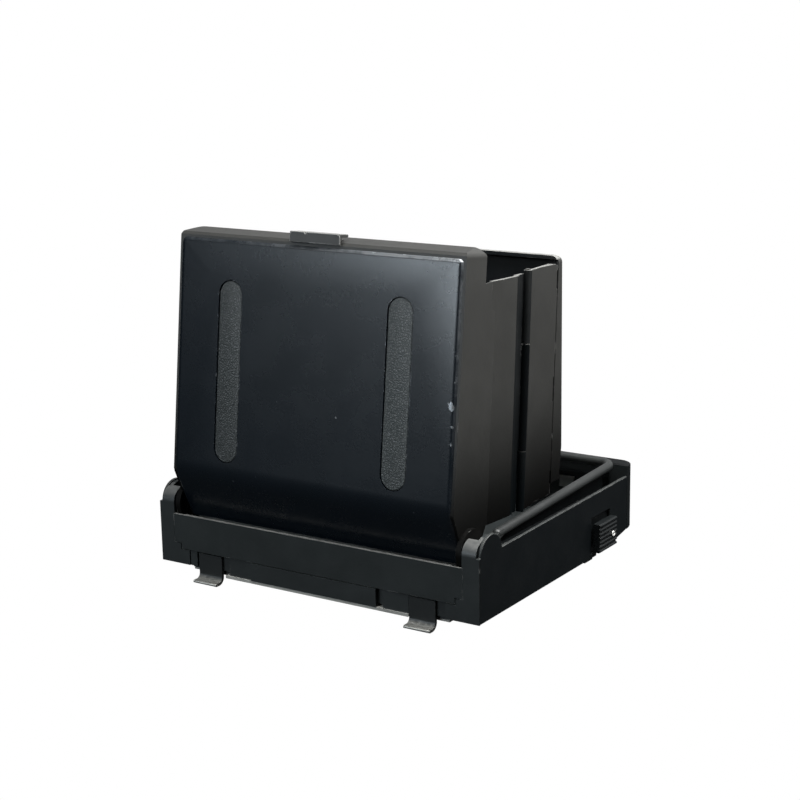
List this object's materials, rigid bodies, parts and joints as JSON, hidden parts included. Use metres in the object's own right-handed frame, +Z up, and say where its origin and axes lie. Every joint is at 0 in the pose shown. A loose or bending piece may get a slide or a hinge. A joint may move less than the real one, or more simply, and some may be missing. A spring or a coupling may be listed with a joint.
{
  "type": "folding focusing hood",
  "caption": "Folding waist-level focusing hood for a medium-format camera: hinged lid with hinged side walls and magnifier on an open drop-in base with front hooks and a release knob.",
  "frame": {"origin": "on the camera seat plane, at the middle of the base's front face, midway between the two front hooks", "axes": "+X to the object's width (the release knob's side), +Y from the front of the base to the rear, +Z up through the open hood"},
  "size_m": [0.1065, 0.0922, 0.0993],
  "materials": {
    "frame_black": "matte dark grey paint on a die casting",
    "plate_black": "matte dark grey paint with worn bright edges",
    "steel": "bare steel, slightly brushed",
    "hook_steel": "steel with worn black paint",
    "bail_grey": "dark satin wire",
    "knob_black": "ribbed dark plastic",
    "tray_satin": "warm dark grey satin paint",
    "cover_gloss": "near-black semi-gloss paint, edges worn bright",
    "strip_grey": "fine-grained grey inlay",
    "panel_satin": "warm dark grey satin paint",
    "magnifier_black": "matte black moulding",
    "lens_glass": "clear coated lens",
    "spring_steel": "spring steel"
  },
  "bodies": {
    "base": {"base_frame": "frame_black", "side_plate_r": "plate_black", "side_plate_l": "plate_black", "front_plate": "plate_black", "mount_plate": "steel", "hook_r": "hook_steel", "hook_l": "hook_steel", "plate_screws": "steel", "rear_bracket": "steel", "lid_pin_r": "steel", "lid_pin_l": "steel", "lid_spring_r": "spring_steel", "lid_spring_l": "spring_steel", "latch_spring": "spring_steel"},
    "bail_wire": {"bail": "bail_grey"},
    "knob": {"release_knob": "knob_black"},
    "latch": {"body_latch": "steel"},
    "lid": {"lid_tray": "tray_satin", "lid_cover": "cover_gloss", "grip_strip_r": "strip_grey", "grip_strip_l": "strip_grey", "tab_spring": "spring_steel", "hinge_wire_fr": "steel", "hinge_wire_fl": "steel", "magnifier_pin": "steel", "magnifier_spring": "spring_steel"},
    "tab": {"lid_tab": "tray_satin"},
    "magnifier": {"magnifier_frame": "magnifier_black", "magnifier_lens": "lens_glass"},
    "mag_catch": {"magnifier_catch": "magnifier_black"},
    "front_right": {"front_panel_r": "panel_satin", "mid_wire_r": "steel"},
    "front_left": {"front_panel_l": "panel_satin", "mid_wire_l": "steel"},
    "rear_right": {"rear_panel_r": "panel_satin"},
    "rear_left": {"rear_panel_l": "panel_satin"},
    "back": {"back_panel": "panel_satin", "hinge_wire_br": "steel", "hinge_wire_bl": "steel"}
  },
  "joints": [
    {"name": "lid_fold", "type": "hinge", "parent": "base", "child": "lid", "pos_m": [0, 0.0062, 0.017], "axis": [-1, 0, 0], "range_deg": [0, 82.2], "stiffness_Nm_per_rad": 0.2, "springref_deg": -14.32},
    {"name": "bail_press", "type": "hinge", "parent": "base", "child": "bail_wire", "pos_m": [0, 0.0062, 0.017], "axis": [-1, 0, 0], "range_deg": [0, 12.31]},
    {"name": "front_wall_right", "type": "hinge", "parent": "lid", "child": "front_right", "pos_m": [0.0434, 0.0194, 0.08], "axis": [0, 0.0705, 0.9975], "range_deg": [0, 90.5]},
    {"name": "rear_wall_right", "type": "hinge", "parent": "front_right", "child": "rear_right", "pos_m": [0.0453, 0.03672, 0.07878], "axis": [0, -0.0705, -0.9975], "range_deg": [0, 181.01]},
    {"name": "back_wall", "type": "hinge", "parent": "rear_right", "child": "back", "pos_m": [0.0434, 0.05403, 0.07755], "axis": [0, 0.0705, 0.9975], "range_deg": [0, 90.5]},
    {"name": "front_wall_left", "type": "hinge", "parent": "lid", "child": "front_left", "pos_m": [-0.0434, 0.0194, 0.08], "axis": [0, -0.0705, -0.9975], "range_deg": [0, 90.5]},
    {"name": "rear_wall_left", "type": "hinge", "parent": "front_left", "child": "rear_left", "pos_m": [-0.0453, 0.03672, 0.07878], "axis": [0, 0.0705, 0.9975], "range_deg": [0, 181.01]},
    {"name": "knob_slide", "type": "slide", "parent": "base", "child": "knob", "axis": [0, 0, -1], "range_m": [0, 0.0023], "stiffness_N_per_m": 300, "springref_m": -0.002},
    {"name": "latch_slide", "type": "slide", "parent": "base", "child": "latch", "axis": [0, -1, 0], "range_m": [0, 0.0008]},
    {"name": "tab_lift", "type": "slide", "parent": "lid", "child": "tab", "axis": [0, 0.1184, 0.993], "range_m": [0, 0.001], "stiffness_N_per_m": 400, "springref_m": -0.001},
    {"name": "magnifier_flip", "type": "hinge", "parent": "lid", "child": "magnifier", "pos_m": [0, 0.00981, 0.08102], "axis": [-1, 0, 0], "range_deg": [-94, 0]},
    {"name": "catch_slide", "type": "slide", "parent": "lid", "child": "mag_catch", "axis": [0, -0.1184, -0.993], "range_m": [0, 0.001], "stiffness_N_per_m": 300, "springref_m": -0.001}
  ],
  "couplings": [
    {"joint": "bail_press", "follows": "lid_fold", "ratio": 0.14964},
    {"joint": "front_wall_right", "follows": "lid_fold", "ratio": 1.1009},
    {"joint": "rear_wall_right", "follows": "lid_fold", "ratio": 2.2018},
    {"joint": "back_wall", "follows": "lid_fold", "ratio": 1.1009},
    {"joint": "front_wall_left", "follows": "lid_fold", "ratio": 1.1009},
    {"joint": "rear_wall_left", "follows": "lid_fold", "ratio": 2.2018},
    {"joint": "latch_slide", "follows": "knob_slide", "ratio": 0.34}
  ]
}
